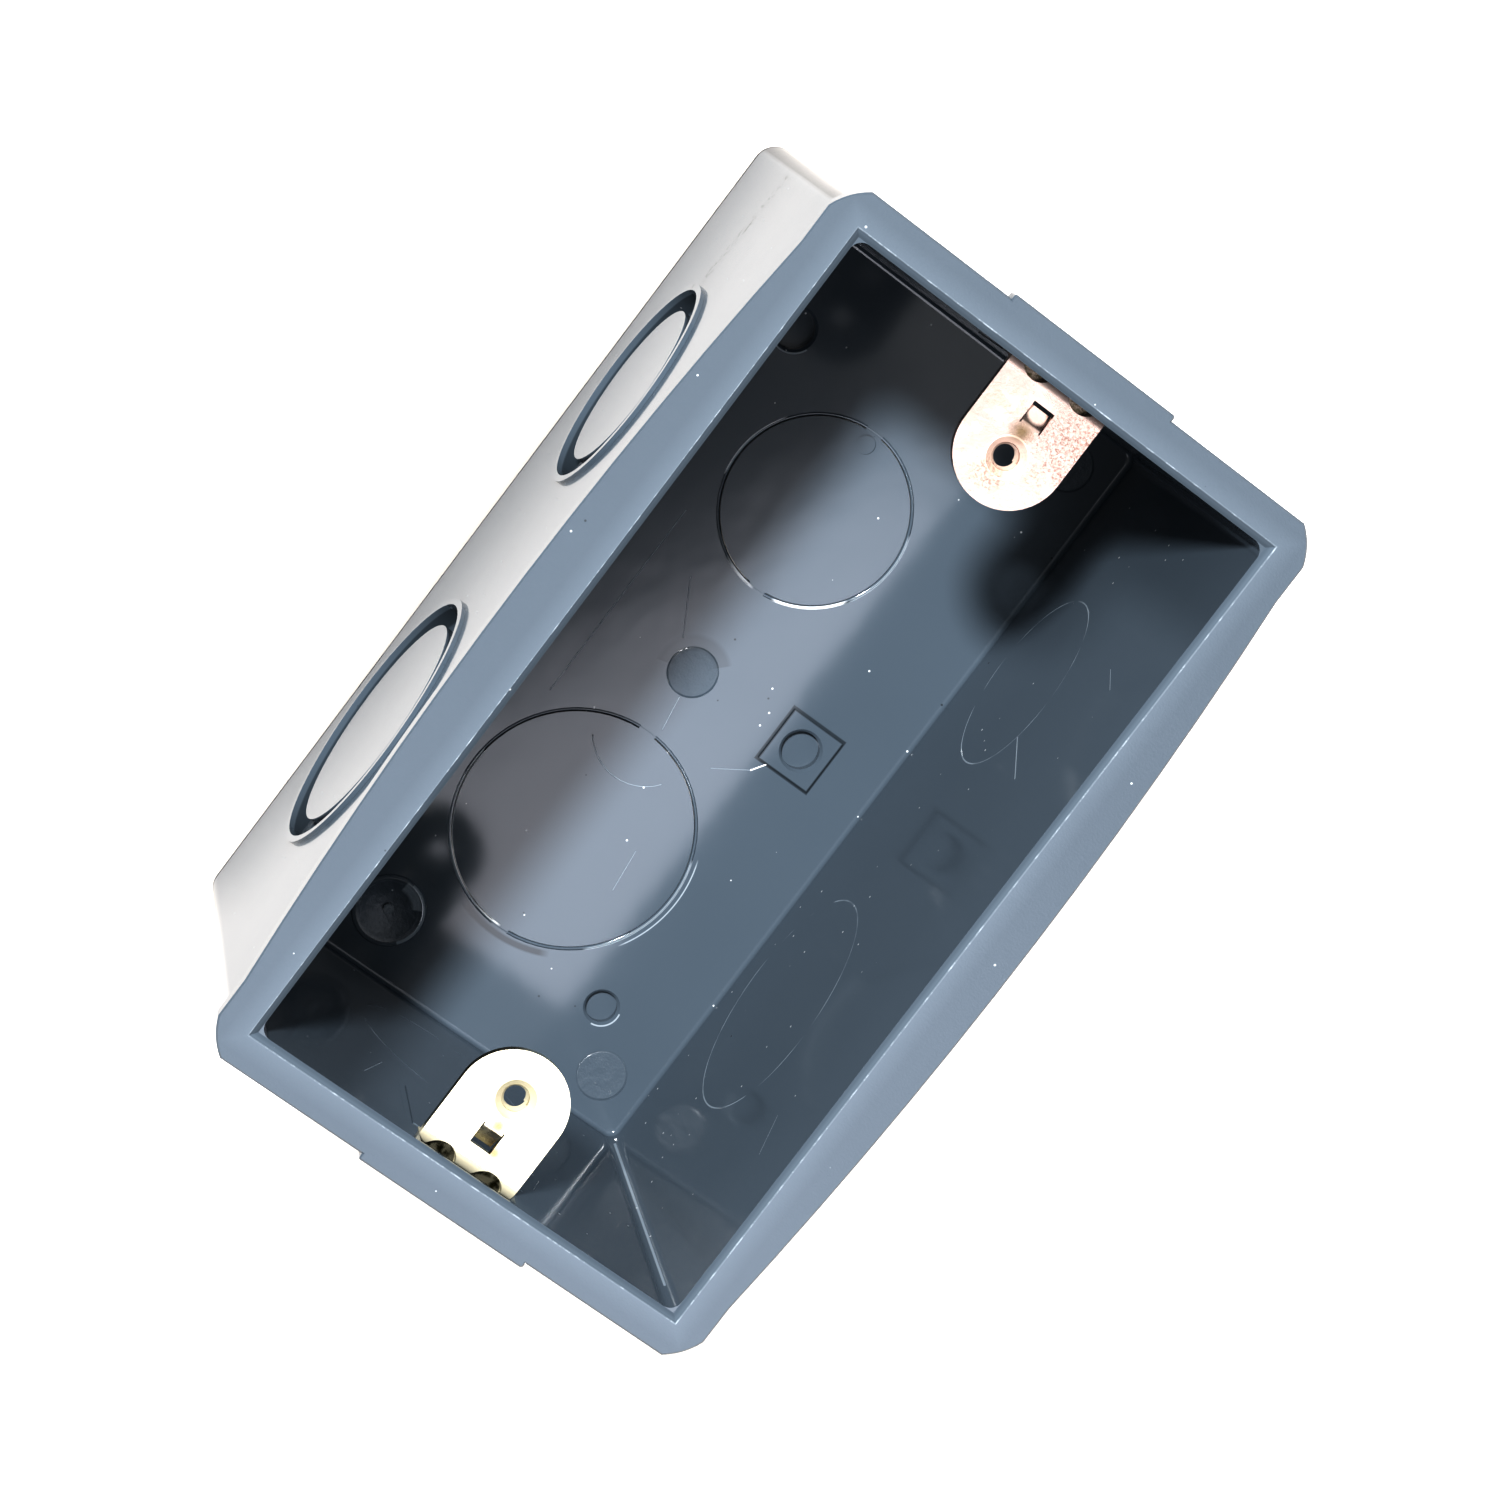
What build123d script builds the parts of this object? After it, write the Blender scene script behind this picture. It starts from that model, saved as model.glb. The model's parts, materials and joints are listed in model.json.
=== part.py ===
from build123d import *
from math import atan, cos, degrees, radians, sin, tan
import os

# A moulded flush box for one switch, lying on its back with its open side up.
# X runs across the box, Y along it and Z out of its open side.
# The origin is the middle of the back face. All sizes are in millimetres.

# Driving sizes: the standard spacing of the device screws, the width and the height
screw_spacing = 83.3
body_width = 58.9
box_height = 57.0

# Walls
side_wall = 2.75
end_wall = 3.0
floor_thickness = 2.0
body_corner_radius = 2.6
back_edge = 0.2

# Cavity, measured at the rim
screw_to_wall = 8.6
cavity_corner_radius = 1.4
cavity_floor_radius = 0.6
inner_draft = 0.6
bevel_width = 0.75
bevel_depth = 0.55

# Flange round the open side, with bowed long edges, cut corners and a tab at each end
flange_thickness = 2.0
flange_end_overhang = 1.35
flange_corner_overhang = 1.7
flange_bow = 2.05
flange_bow_inset = 8.1
flange_corner_width = 2.8
flange_corner_length = 3.6
flange_corner_bulge = 0.35
flange_edge = 0.2
tab_width = 21.0
tab_step = 0.65
tab_corner_radius = 0.3

# Pad behind each lug, on the outside of the end wall
pad_height = 17.0
pad_step = 0.8
pad_lead_in = 1.5

# Knockouts: two sizes, each a disc held by two tabs in a groove
large_slit_radius = 14.1
small_slit_radius = 11.1
slit_width = 0.45
groove_inside_slit = 1.35
groove_outside_slit = 1.1
knockout_web = 0.55
side_tab_recess = 1.0
floor_tab_recess = 0.8
knockout_tab_width = 2.2
bead_width = 0.8
bead_height = 0.45
side_knockout_height = 21.2
large_knockout_inset = 27.65
small_knockout_inset = 27.25
pry_mark_radius = 1.15
pry_mark_depth = 0.3
pry_mark_offset = 9.4

# Marks on the inside of the floor, placed from its long walls and its ends
ejector_radius = 3.0
ejector_depth = 0.12
ejector_inset_x = 6.3
ejector_inset_y = 6.05
hole_edge = 0.3
insert_inset = 11.1
insert_side = 7.0
insert_rise = 0.4
insert_hole_radius = 2.55
insert_hole_depth = 1.5
small_hole_inset_x = 11.3
small_hole_inset_y = 12.65
small_hole_radius = 2.15
small_hole_depth = 1.2
wide_hole_inset_x = 12.1
wide_hole_inset_y = 12.25
wide_hole_radius = 2.7
wide_hole_depth = 1.4
gate_inset_x = 15.2
gate_inset_y = 7.85
gate_radius = 3.8
gate_depth = 0.9
gate_lip_width = 0.5
gate_lip_height = 0.15
gate_stub_radius = 0.6
gate_stub_height = 0.35

# Steel lugs for the device screws
lug_sheet = 0.95
lug_width = 12.2
lug_drop = 3.6
lug_leg_length = 14.0
lug_bend_radius = 0.4
screw_hole_radius = 1.5
screw_hole_entry = 0.7
screw_collar_radius = 2.4
screw_collar_height = 1.1
lug_nose_offset = 0.75
window_side = 2.6
window_to_hole = 5.0
tongue_gap = 0.15
tongue_slope = 30.0
tongue_bend_radius = 0.6
gusset_edge = 0.6
gusset_radius = 1.95
gusset_reach = 1.6
gusset_depth = 1.2
gusset_wall = 0.6

# Channel that holds the leg of each lug
channel_depth = 0.85
channel_lip = 1.0
leg_clearance = 0.05
keeper_overlap = 1.5
keeper_reach = 1.6
keeper_thickness = 1.1
keeper_start = 3.2

os.makedirs("parts", exist_ok=True)

# Sizes that follow from the ones above
opening_width = body_width - 2 * side_wall
opening_length = screw_spacing + 2 * screw_to_wall
body_length = opening_length + 2 * end_wall
flange_length = body_length + 2 * flange_end_overhang
flange_end_width = body_width + 2 * flange_corner_overhang
cavity_depth = box_height - floor_thickness
flange_bottom = box_height - flange_thickness
large_knockout_y = large_knockout_inset - opening_length / 2
small_knockout_y = opening_length / 2 - small_knockout_inset


def inner_half(rim_size, height):
    """Half of an inside size of the cavity, at a height above the back."""
    return rim_size / 2 - (box_height - height) * tan(radians(inner_draft))


# Lug seats, worked out from the opening
channel_back = opening_length / 2 + channel_depth
leg_back = channel_back - leg_clearance
leg_front = leg_back - lug_sheet
lug_top = box_height - lug_drop
leg_bottom = lug_top - lug_leg_length
hole_y = screw_spacing / 2


def ring(outer_radius, inner_radius, tab_width=0.0):
    """Flat ring in the XY plane. A tab width leaves two gaps in it, on the X axis."""
    with BuildSketch() as flat:
        Circle(outer_radius)
        Circle(inner_radius, mode=Mode.SUBTRACT)
        if tab_width:
            Rectangle(2 * outer_radius + 1, tab_width, mode=Mode.SUBTRACT)
    return flat.sketch


def knockout_cut(slit_radius, wall, tab_recess, cut_through):
    """Space round one knockout disc, with the outside of the wall at Z = 0.

    A wide groove is open to the outside. Two tabs bridge it, a little below the surface.
    Under the groove a thin web is left, and on the floor a narrow slit goes through that web.
    """
    groove_outer = slit_radius + groove_outside_slit
    groove_inner = slit_radius - groove_inside_slit
    with BuildPart() as cut:
        add(ring(groove_outer, groove_inner))
        extrude(amount=-tab_recess)
        with BuildSketch():
            add(ring(groove_outer, groove_inner, knockout_tab_width))
        extrude(amount=-(wall - knockout_web))
        if cut_through:
            with BuildSketch():
                add(ring(slit_radius + slit_width / 2, slit_radius - slit_width / 2, knockout_tab_width))
            extrude(amount=-2 * wall)
    return cut.part


def knockout_bead(slit_radius):
    """Raised bead round a knockout's groove, rooted in the wall below Z = 0."""
    bead_inner = slit_radius + groove_outside_slit
    with BuildPart() as bead:
        with BuildSketch(Plane.XZ):
            with Locations((bead_inner, 0)):
                Rectangle(bead_width, 2 * bead_height, align=(Align.MIN, Align.CENTER))
        revolve(axis=Axis.Z)
    return bead.part


def wall_plane(sign, y, height):
    """Outside plane of a long wall, centred on one of its knockouts."""
    return Plane(origin=(sign * body_width / 2, y, height), x_dir=(0, 1, 0), z_dir=(sign, 0, 0))


def end_plane(sign, height):
    """Outside plane of an end wall, centred on its knockout."""
    return Plane(origin=(0, sign * body_length / 2, height), x_dir=(1, 0, 0), z_dir=(0, sign, 0))


def keeper():
    """Moulded lip at +X and +Y that laps over one edge of a lug's leg."""
    lip_top = lug_top - keeper_start
    lip_front = leg_front - leg_clearance - keeper_thickness
    with BuildPart() as lip:
        with BuildSketch(Plane.XY.offset(leg_bottom)):
            with BuildLine():
                Polyline(
                    (lug_width / 2 - keeper_overlap, leg_front - leg_clearance),
                    (lug_width / 2 - keeper_overlap, lip_front),
                    (lug_width / 2 + keeper_reach, lip_front),
                    (lug_width / 2 + keeper_reach, channel_back),
                    (lug_width / 2 + leg_clearance, channel_back),
                    (lug_width / 2 + leg_clearance, leg_front - leg_clearance),
                    close=True,
                )
            make_face()
        extrude(amount=lip_top - leg_bottom)
        front_edges = lip.faces().sort_by(Axis.Y)[0].edges()
        chamfer(front_edges.filter_by(Axis.Z), length=keeper_thickness / 3)
    return lip.part


def blind_hole(mouth_radius, depth):
    """Space of a round blind hole with a broken mouth edge, sunk from Z = 0."""
    with BuildPart() as hole:
        with BuildSketch(Plane.XZ):
            with BuildLine():
                Polyline(
                    (0, -depth),
                    (mouth_radius - hole_edge, -depth),
                    (mouth_radius - hole_edge, -hole_edge),
                    (mouth_radius, 0),
                    (mouth_radius, 1),
                    (0, 1),
                    close=True,
                )
            make_face()
        revolve(axis=Axis.Z)
    return hole.part


def gate_lip():
    """Low rim round the mark of the gate, on Z = 0."""
    with BuildPart() as lip:
        with BuildSketch():
            Circle(gate_radius + gate_lip_width)
        extrude(amount=gate_lip_height)
        chamfer(lip.edges().sort_by(Axis.Z)[-1], length=gate_lip_height * 0.8)
    return lip.part


def gate_dish():
    """Round hollow left by the gate, sunk from Z = 0, with a low stub in its middle."""
    with BuildPart() as dish:
        with BuildSketch(Plane.XZ):
            with BuildLine():
                TangentArc((0, -gate_depth), (gate_radius, 0), tangent=(1, 0))
                Polyline((gate_radius, 0), (gate_radius, 1), (0, 1), (0, -gate_depth))
            make_face()
        revolve(axis=Axis.Z)
        with Locations((0, 0, -gate_depth)):
            Cylinder(gate_stub_radius, 2 * gate_stub_height, mode=Mode.SUBTRACT)
    return dish.part


with BuildPart() as core:
    with BuildSketch(Plane.XY.offset(box_height)):
        Rectangle(opening_width, opening_length)
    extrude(amount=-cavity_depth, taper=inner_draft)
    upright_edges = core.edges().filter_by(lambda edge: edge.length > cavity_depth / 2).sort_by(Axis.Z)
    fillet(upright_edges[4:8], radius=cavity_corner_radius)
    fillet(core.faces().sort_by(Axis.Z)[0].edges(), radius=cavity_floor_radius)

with BuildPart() as switch_box:
    # Body
    with BuildSketch():
        RectangleRounded(body_width, body_length, body_corner_radius)
    extrude(amount=flange_bottom + flange_thickness / 2)
    chamfer(switch_box.faces().sort_by(Axis.Z)[0].edges(), length=back_edge)

    # Pads that back the lug channels
    with BuildSketch(Plane.YZ.offset(-tab_width / 2)):
        with BuildLine():
            Polyline(
                (body_length / 2, flange_bottom - pad_height - pad_lead_in),
                (body_length / 2 + pad_step, flange_bottom - pad_height),
                (body_length / 2 + pad_step, flange_bottom + flange_thickness / 2),
                (body_length / 2 - pad_step, flange_bottom + flange_thickness / 2),
                (body_length / 2 - pad_step, flange_bottom - pad_height - pad_lead_in),
                close=True,
            )
        make_face()
        mirror(about=Plane.YZ)
    extrude(amount=tab_width)

    # Flange with bowed long edges
    with BuildSketch(Plane.XY.offset(flange_bottom)):
        with BuildLine():
            bow = TangentArc(
                (flange_end_width / 2 + flange_bow, 0),
                (flange_end_width / 2, flange_length / 2 - flange_bow_inset),
                tangent=(0, 1),
            )
            side = Line(bow @ 1, (flange_end_width / 2, flange_length / 2 - flange_corner_length))
            corner_end = (flange_end_width / 2 - flange_corner_width, flange_length / 2)
            corner = SagittaArc(side @ 1, corner_end, -flange_corner_bulge)
            Line(corner @ 1, (0, flange_length / 2))
            mirror(about=Plane.XZ)
            mirror(about=Plane.YZ)
        make_face()
        RectangleRounded(tab_width, flange_length + 2 * tab_step, tab_corner_radius)
    extrude(amount=flange_thickness)
    chamfer(switch_box.faces().sort_by(Axis.Z)[-1].edges(), length=flange_edge)

    # Cavity, and the bevel round its mouth
    add(core.part, mode=Mode.SUBTRACT)
    with BuildSketch(Plane.XY.offset(box_height)):
        Rectangle(opening_width + 2 * bevel_width, opening_length + 2 * bevel_width)
    extrude(amount=-bevel_depth, taper=degrees(atan(bevel_width / bevel_depth)), mode=Mode.SUBTRACT)

    # Channels for the legs of the lugs, and the lips that hold the legs in
    channel_height = box_height - channel_lip - leg_bottom
    with Locations((0, 0, leg_bottom + channel_height / 2)):
        Box(lug_width + 2 * leg_clearance, 2 * channel_back, channel_height, mode=Mode.SUBTRACT)
    for turn in (0, 180):
        add(keeper(), rotation=(0, 0, turn))
        add(mirror(keeper(), about=Plane.YZ), rotation=(0, 0, turn))

    # Knockouts in the long walls, the end walls and the floor
    side_depth = body_width / 2 - inner_half(opening_width, side_knockout_height)
    end_depth = body_length / 2 - inner_half(opening_length, side_knockout_height)
    for slit_radius, y in ((large_slit_radius, large_knockout_y), (small_slit_radius, small_knockout_y)):
        for sign in (-1, 1):
            with Locations(wall_plane(sign, y, side_knockout_height)):
                add(knockout_bead(slit_radius))
                add(knockout_cut(slit_radius, side_depth, side_tab_recess, False), mode=Mode.SUBTRACT)
        with Locations(Plane(origin=(0, y, 0), x_dir=(0, 1, 0), z_dir=(0, 0, -1))):
            add(knockout_cut(slit_radius, floor_thickness, floor_tab_recess, True), mode=Mode.SUBTRACT)
    for sign in (-1, 1):
        with Locations(end_plane(sign, side_knockout_height)):
            add(knockout_bead(small_slit_radius))
            add(knockout_cut(small_slit_radius, end_depth, side_tab_recess, False), mode=Mode.SUBTRACT)

    # Marks of the mould on the floor
    ejector_x = opening_width - 2 * ejector_inset_x
    ejector_y = opening_length - 2 * ejector_inset_y
    with BuildSketch(Plane.XY.offset(floor_thickness)):
        Circle(ejector_radius)
        with GridLocations(ejector_x, ejector_y, 2, 2):
            Circle(ejector_radius)
    extrude(amount=-ejector_depth, mode=Mode.SUBTRACT)
    with BuildSketch(Plane.XY.offset(floor_thickness)):
        with Locations((0, small_knockout_y + pry_mark_offset)):
            Circle(pry_mark_radius)
    extrude(amount=-pry_mark_depth, mode=Mode.SUBTRACT)
    insert_x = opening_width / 2 - insert_inset
    with BuildSketch(Plane.XY.offset(floor_thickness)):
        with Locations((insert_x, 0)):
            Rectangle(insert_side, insert_side)
    extrude(amount=insert_rise)
    with Locations((insert_x, 0, floor_thickness + insert_rise)):
        add(blind_hole(insert_hole_radius, insert_hole_depth), mode=Mode.SUBTRACT)
    small_hole_x = opening_width / 2 - small_hole_inset_x
    with Locations((small_hole_x, small_hole_inset_y - opening_length / 2, floor_thickness)):
        add(blind_hole(small_hole_radius, small_hole_depth), mode=Mode.SUBTRACT)
    wide_hole_x = wide_hole_inset_x - opening_width / 2
    with Locations((wide_hole_x, opening_length / 2 - wide_hole_inset_y, floor_thickness)):
        add(blind_hole(wide_hole_radius, wide_hole_depth), mode=Mode.SUBTRACT)
    with Locations((gate_inset_x - opening_width / 2, gate_inset_y - opening_length / 2, floor_thickness)):
        add(gate_lip())
        add(gate_dish(), mode=Mode.SUBTRACT)

switch_box.part.label = "switch_box"
export_step(switch_box.part, "parts/switch_box.step")

# Lug at the +Y end: a plate with a round nose, and a leg bent down from it
nose_y = hole_y + lug_nose_offset
plate_bottom = lug_top - lug_sheet
window_y = hole_y + window_to_hole
tongue_root_y = window_y - window_side / 2
tongue_knee_y = tongue_root_y + tongue_bend_radius * sin(radians(tongue_slope))
tongue_length = window_side - tongue_gap - tongue_bend_radius * sin(radians(tongue_slope))
tongue_end_y = tongue_knee_y + tongue_length * cos(radians(tongue_slope))
tongue_end_top = lug_top - tongue_length * sin(radians(tongue_slope))
gusset_x = lug_width / 2 - gusset_edge - gusset_wall - gusset_radius
gusset_y = leg_back - gusset_reach + gusset_radius
with BuildPart() as upper_lug:
    with BuildSketch(Plane.XY.offset(plate_bottom)):
        with Locations((0, nose_y)):
            Circle(lug_width / 2)
            Rectangle(lug_width, leg_back - nose_y, align=(Align.CENTER, Align.MIN))
    extrude(amount=lug_sheet)
    with Locations((0, leg_front, leg_bottom)):
        Box(lug_width, lug_sheet, lug_leg_length, align=(Align.CENTER, Align.MIN, Align.MIN))
    bend_edges = upper_lug.edges().filter_by(Axis.X)
    fillet(bend_edges.sort_by_distance((0, leg_back, lug_top))[0], radius=lug_bend_radius + lug_sheet)
    bend_edges = upper_lug.edges().filter_by(Axis.X)
    fillet(bend_edges.sort_by_distance((0, leg_front, plate_bottom))[0], radius=lug_bend_radius)

    # Two half-round gussets pressed down into the bend
    for sign in (-1, 1):
        with BuildSketch(Plane.XY.offset(lug_top - gusset_depth - gusset_wall)):
            with Locations((sign * gusset_x, gusset_y)):
                Circle(gusset_radius + gusset_wall)
            with Locations((0, leg_front)):
                Rectangle(lug_width, 4 * gusset_radius, align=(Align.CENTER, Align.MIN), mode=Mode.SUBTRACT)
        extrude(amount=gusset_depth)
        with BuildSketch(Plane.XY.offset(lug_top - gusset_depth)):
            with Locations((sign * gusset_x, gusset_y)):
                Circle(gusset_radius)
        extrude(amount=2 * gusset_depth, mode=Mode.SUBTRACT)

    # Square window, and the tongue cut out of it, which slopes down from the side of the screw hole
    with Locations((0, window_y, plate_bottom)):
        Box(window_side, window_side, 3 * lug_sheet, mode=Mode.SUBTRACT)
    with BuildSketch(Plane.YZ.offset(tongue_gap - window_side / 2)):
        with BuildLine():
            Polyline(
                (tongue_root_y - tongue_bend_radius, lug_top),
                (tongue_knee_y, lug_top),
                (tongue_end_y, tongue_end_top),
                (tongue_end_y, tongue_end_top - lug_sheet),
                (tongue_knee_y, plate_bottom),
                (tongue_root_y - tongue_bend_radius, plate_bottom),
                close=True,
            )
        make_face()
    extrude(amount=window_side - 2 * tongue_gap)
    bend_edges = upper_lug.edges().filter_by(Axis.X)
    fillet(bend_edges.sort_by_distance((0, tongue_knee_y, lug_top))[0], radius=tongue_bend_radius)

    # Tapped hole in a collar drawn down out of the plate
    with Locations((0, hole_y, plate_bottom - screw_collar_height)):
        Cylinder(
            screw_collar_radius,
            screw_collar_height + lug_sheet / 2,
            align=(Align.CENTER, Align.CENTER, Align.MIN),
        )
    with Locations((0, hole_y, lug_top)):
        Cylinder(screw_hole_radius, 4 * lug_sheet + 2 * screw_collar_height, mode=Mode.SUBTRACT)
    entry = upper_lug.edges().filter_by(GeomType.CIRCLE).sort_by_distance((0, hole_y, lug_top))[0]
    chamfer(entry, length=screw_hole_entry)

upper_lug.part.label = "upper_lug"
export_step(upper_lug.part, "parts/upper_lug.step")

# The same lug turned round for the -Y end
with BuildPart() as lower_lug:
    add(upper_lug.part, rotation=(0, 0, 180))

lower_lug.part.label = "lower_lug"
export_step(lower_lug.part, "parts/lower_lug.step")
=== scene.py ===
# %% [markdown]
# # A plastic switch box, dressed for a studio picture
#
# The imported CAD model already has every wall, flange, knockout and lug in its real place and size.
# This script keeps those solids, gives each one its real material, adds the small things that CAD
# leaves out, and sets up the light and the camera. Lengths are in metres, as Blender wants them.

import json
import math

import bpy
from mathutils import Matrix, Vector

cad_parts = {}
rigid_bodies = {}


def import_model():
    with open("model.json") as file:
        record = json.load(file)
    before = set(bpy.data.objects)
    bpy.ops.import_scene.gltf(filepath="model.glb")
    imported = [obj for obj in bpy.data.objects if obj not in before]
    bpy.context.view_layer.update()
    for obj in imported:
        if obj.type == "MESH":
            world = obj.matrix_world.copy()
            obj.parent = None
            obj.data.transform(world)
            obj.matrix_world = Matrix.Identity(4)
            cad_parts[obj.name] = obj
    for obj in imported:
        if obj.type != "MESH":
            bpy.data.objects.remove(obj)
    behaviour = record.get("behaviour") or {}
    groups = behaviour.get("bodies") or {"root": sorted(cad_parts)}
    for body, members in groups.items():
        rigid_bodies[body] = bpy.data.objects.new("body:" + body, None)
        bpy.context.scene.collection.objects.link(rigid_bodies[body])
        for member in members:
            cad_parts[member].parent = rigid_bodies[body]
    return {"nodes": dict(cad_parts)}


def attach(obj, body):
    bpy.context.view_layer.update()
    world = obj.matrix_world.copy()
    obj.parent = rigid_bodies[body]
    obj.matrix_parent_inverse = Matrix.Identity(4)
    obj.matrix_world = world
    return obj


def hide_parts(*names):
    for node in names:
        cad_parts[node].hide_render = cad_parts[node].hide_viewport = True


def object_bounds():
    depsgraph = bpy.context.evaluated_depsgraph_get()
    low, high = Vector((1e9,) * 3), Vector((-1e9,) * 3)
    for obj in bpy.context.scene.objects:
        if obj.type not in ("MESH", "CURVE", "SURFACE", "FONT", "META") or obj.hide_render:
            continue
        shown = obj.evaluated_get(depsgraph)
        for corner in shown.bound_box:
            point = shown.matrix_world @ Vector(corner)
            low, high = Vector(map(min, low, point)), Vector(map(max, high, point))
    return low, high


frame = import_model()
cad_low, cad_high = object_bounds()
MM = 0.001
print("CAD box in mm:", [round(v / MM, 2) for v in cad_high - cad_low])

# %% [markdown]
# ## The camera
#
# The picture was taken from above the +Y and -X corner, from about half a metre away with a long lens.
# The straight edges of the box fix the place and turn of such a camera, so both are plain numbers here.
# A long lens is 108 mm on a 36 mm wide picture. No shift is needed, because the box is in the middle.
# The picture has hard contrast, so the gamma of the view is below 1, which deepens the dark tones.

# %% Camera
CAMERA_PLACE = (-120.3 * MM, 49.0 * MM, 494.5 * MM)
CAMERA_TURN = (-13.716, -8.320, 37.573)
LENS_MM = 107.7
VIEW_GAMMA = 0.69

camera_data = bpy.data.cameras.new("studio_camera")
camera_data.sensor_width = 36.0
camera_data.lens = LENS_MM
camera_data.clip_start = 0.01
camera = bpy.data.objects.new("studio_camera", camera_data)
bpy.context.scene.collection.objects.link(camera)
camera.location = CAMERA_PLACE
camera.rotation_euler = [math.radians(angle) for angle in CAMERA_TURN]
bpy.context.scene.camera = camera
bpy.context.scene.view_settings.view_transform = "Standard"
bpy.context.scene.view_settings.gamma = VIEW_GAMMA
print("camera is", round(camera.location.length, 3), "m from the middle of the back face")

# %% [markdown]
# ## The table and the room
#
# The box stands on its back on plain white paper. A large plane does for paper, since only its
# brightness shows. A lamp straight above lights the paper alone, so it comes out pure white, as it
# does on a lit studio table, and the white paper then lights the box's outside from below. Under the
# box it stays dark, which keeps the slits of the floor dark. The world is a dim, neutral white room.

# %% Floor and world


def linear(hex_colour):
    """Turns an sRGB hex colour such as "8090a0" into linear RGBA."""
    parts = [int(hex_colour[i : i + 2], 16) / 255 for i in (0, 2, 4)]
    return [p / 12.92 if p <= 0.04045 else ((p + 0.055) / 1.055) ** 2.4 for p in parts] + [1.0]


def add_node(tree, kind, settings=None, **inputs):
    """Adds a node. An input is a plain value, or the output socket of another node to link from."""
    node = tree.nodes.new(kind)
    for name, value in (settings or {}).items():
        setattr(node, name, value)
    for name, value in inputs.items():
        key = int(name[1:]) if name[0] == "i" and name[1:].isdigit() else name.replace("_", " ")
        if isinstance(value, bpy.types.NodeSocket):
            tree.links.new(value, node.inputs[key])
        else:
            node.inputs[key].default_value = value
    return node


def new_material(name):
    """An empty material, and its tree with only the output left in it."""
    material = bpy.data.materials.new(name)
    material.use_nodes = True
    tree = material.node_tree
    for node in list(tree.nodes):
        if node.type != "OUTPUT_MATERIAL":
            tree.nodes.remove(node)
    return material, tree


def finish_material(tree, shader):
    """Links a shader to the material's output."""
    output = next(node for node in tree.nodes if node.type == "OUTPUT_MATERIAL")
    tree.links.new(shader.outputs[0], output.inputs["Surface"])


def flat_panel(name, centre, size, material):
    """A rectangular plane that belongs to the studio and not to the box."""
    bpy.ops.object.select_all(action="DESELECT")
    bpy.ops.mesh.primitive_plane_add(size=1, location=centre)
    panel = bpy.context.object
    panel.name = name
    panel.scale = (size[0], size[1], 1)
    panel.data.materials.append(material)
    return panel


PAPER_SIDE = 6.0
TABLE_LAMP_STRENGTH = 9.5
ROOM_STRENGTH = 0.5

paper, tree = new_material("white_paper")
finish_material(tree, add_node(tree, "ShaderNodeBsdfDiffuse", Color=linear("aeaaa6"), Roughness=0.5))
floor = flat_panel("table_top", (0, 0, cad_low.z), (PAPER_SIDE, PAPER_SIDE), paper)

only_paper = bpy.data.collections.new("lit_by_table_lamp")
only_paper.objects.link(floor)
table_lamp_data = bpy.data.lights.new("table_lamp", "SUN")
table_lamp_data.energy = TABLE_LAMP_STRENGTH
table_lamp_data.angle = math.radians(10)
table_lamp = bpy.data.objects.new("table_lamp", table_lamp_data)
bpy.context.scene.collection.objects.link(table_lamp)
table_lamp.light_linking.receiver_collection = only_paper

world = bpy.data.worlds.new("white_room")
bpy.context.scene.world = world
world.use_nodes = True
room_light = world.node_tree.nodes["Background"]
room_light.inputs["Color"].default_value = linear("f6f6f8")
room_light.inputs["Strength"].default_value = ROOM_STRENGTH
print("floor at z =", round(floor.location.z / MM, 2), "mm")

# %% [markdown]
# ## The light
#
# One small, strong lamp stands up and to the left, on the camera's side. It throws the clear shadows
# inside the box: the left wall's over half the floor, and the upper lug's round one in the corner.

# %% Key lamp
KEY_SLOPE = Vector((-0.475, 0.27, 1.0))
KEY_HEIGHT = 1275 * MM
KEY_WIDTH = 150 * MM
KEY_POWER = 49.0
KEY_TARGET = (0, 0, 30 * MM)


def aim(thing, target):
    """Turns a lamp at its place so that it shines at the target."""
    thing.rotation_euler = (Vector(target) - thing.location).to_track_quat("-Z", "Y").to_euler()


key_data = bpy.data.lights.new("key_lamp", "AREA")
key_data.shape = "DISK"
key_data.size = KEY_WIDTH
key_data.energy = KEY_POWER
key_lamp = bpy.data.objects.new("key_lamp", key_data)
bpy.context.scene.collection.objects.link(key_lamp)
key_lamp.location = KEY_SLOPE * KEY_HEIGHT
aim(key_lamp, KEY_TARGET)
print("key lamp is", round(key_lamp.location.length, 2), "m away")

# %% [markdown]
# ## What the gloss reflects
#
# A large soft box on the other side and a white card above the far end do no more than shine back
# from the glossy floor. Both hang at one height. The camera doesn't see them and they give no other
# light, so they can be as large and as near as the shine in the photograph asks for.

# %% Soft boxes that are only reflected
PANEL_HEIGHT = 600 * MM


def glow(name, colour, strength):
    """A material that only gives out light."""
    material, tree = new_material(name)
    finish_material(tree, add_node(tree, "ShaderNodeEmission", Color=linear(colour), Strength=strength))
    return material


def soft_box(name, corner, size, turn, material):
    """A glowing panel that hangs right and down from its upper left corner, in millimetres.

    It is turned about Z, clockwise as seen from above. It lights reflections and nothing else.
    """
    right = Vector((math.cos(math.radians(turn)), -math.sin(math.radians(turn)), 0))
    down = Vector((-math.sin(math.radians(turn)), -math.cos(math.radians(turn)), 0))
    centre = Vector((corner[0], corner[1], 0)) + right * size[0] / 2 + down * size[1] / 2
    panel = flat_panel(name, centre * MM, (size[0] * MM, size[1] * MM), material)
    panel.location.z = PANEL_HEIGHT
    panel.rotation_euler.z = math.radians(-turn)
    panel.visible_camera = False
    panel.visible_diffuse = False
    panel.visible_shadow = False
    return panel


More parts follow.
